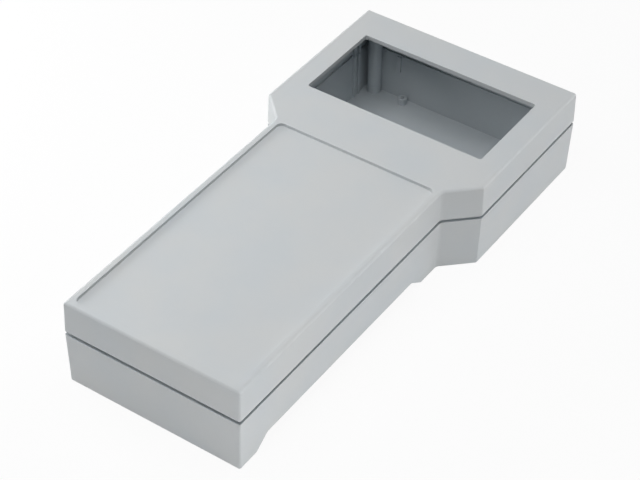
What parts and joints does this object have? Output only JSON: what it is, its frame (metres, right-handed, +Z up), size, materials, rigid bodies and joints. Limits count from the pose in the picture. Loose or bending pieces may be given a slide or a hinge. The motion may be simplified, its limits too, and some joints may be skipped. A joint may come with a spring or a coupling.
{
  "type": "hand-held electronics enclosure",
  "caption": "Hand-held two-shell instrument case with a wide head, an open display window, a shallow keypad recess on the narrower grip and closing screws from beneath.",
  "frame": {"origin": "middle of the base of the case, on the surface it lies on", "axes": "+Y along the case from the grip towards the head, +Z up out of the window, +X to the right when the head points away"},
  "size_m": [0.0986, 0.21, 0.0381],
  "materials": {
    "case_plastic": "light grey moulded ABS with a fine matt texture",
    "screw_steel": "zinc plated"
  },
  "bodies": {
    "root": {"lower_shell": "case_plastic", "upper_shell": "case_plastic", "screw_far_left": "screw_steel", "screw_far_right": "screw_steel", "screw_shoulder_left": "screw_steel", "screw_shoulder_right": "screw_steel", "screw_grip_left": "screw_steel", "screw_grip_right": "screw_steel"}
  },
  "joints": []
}
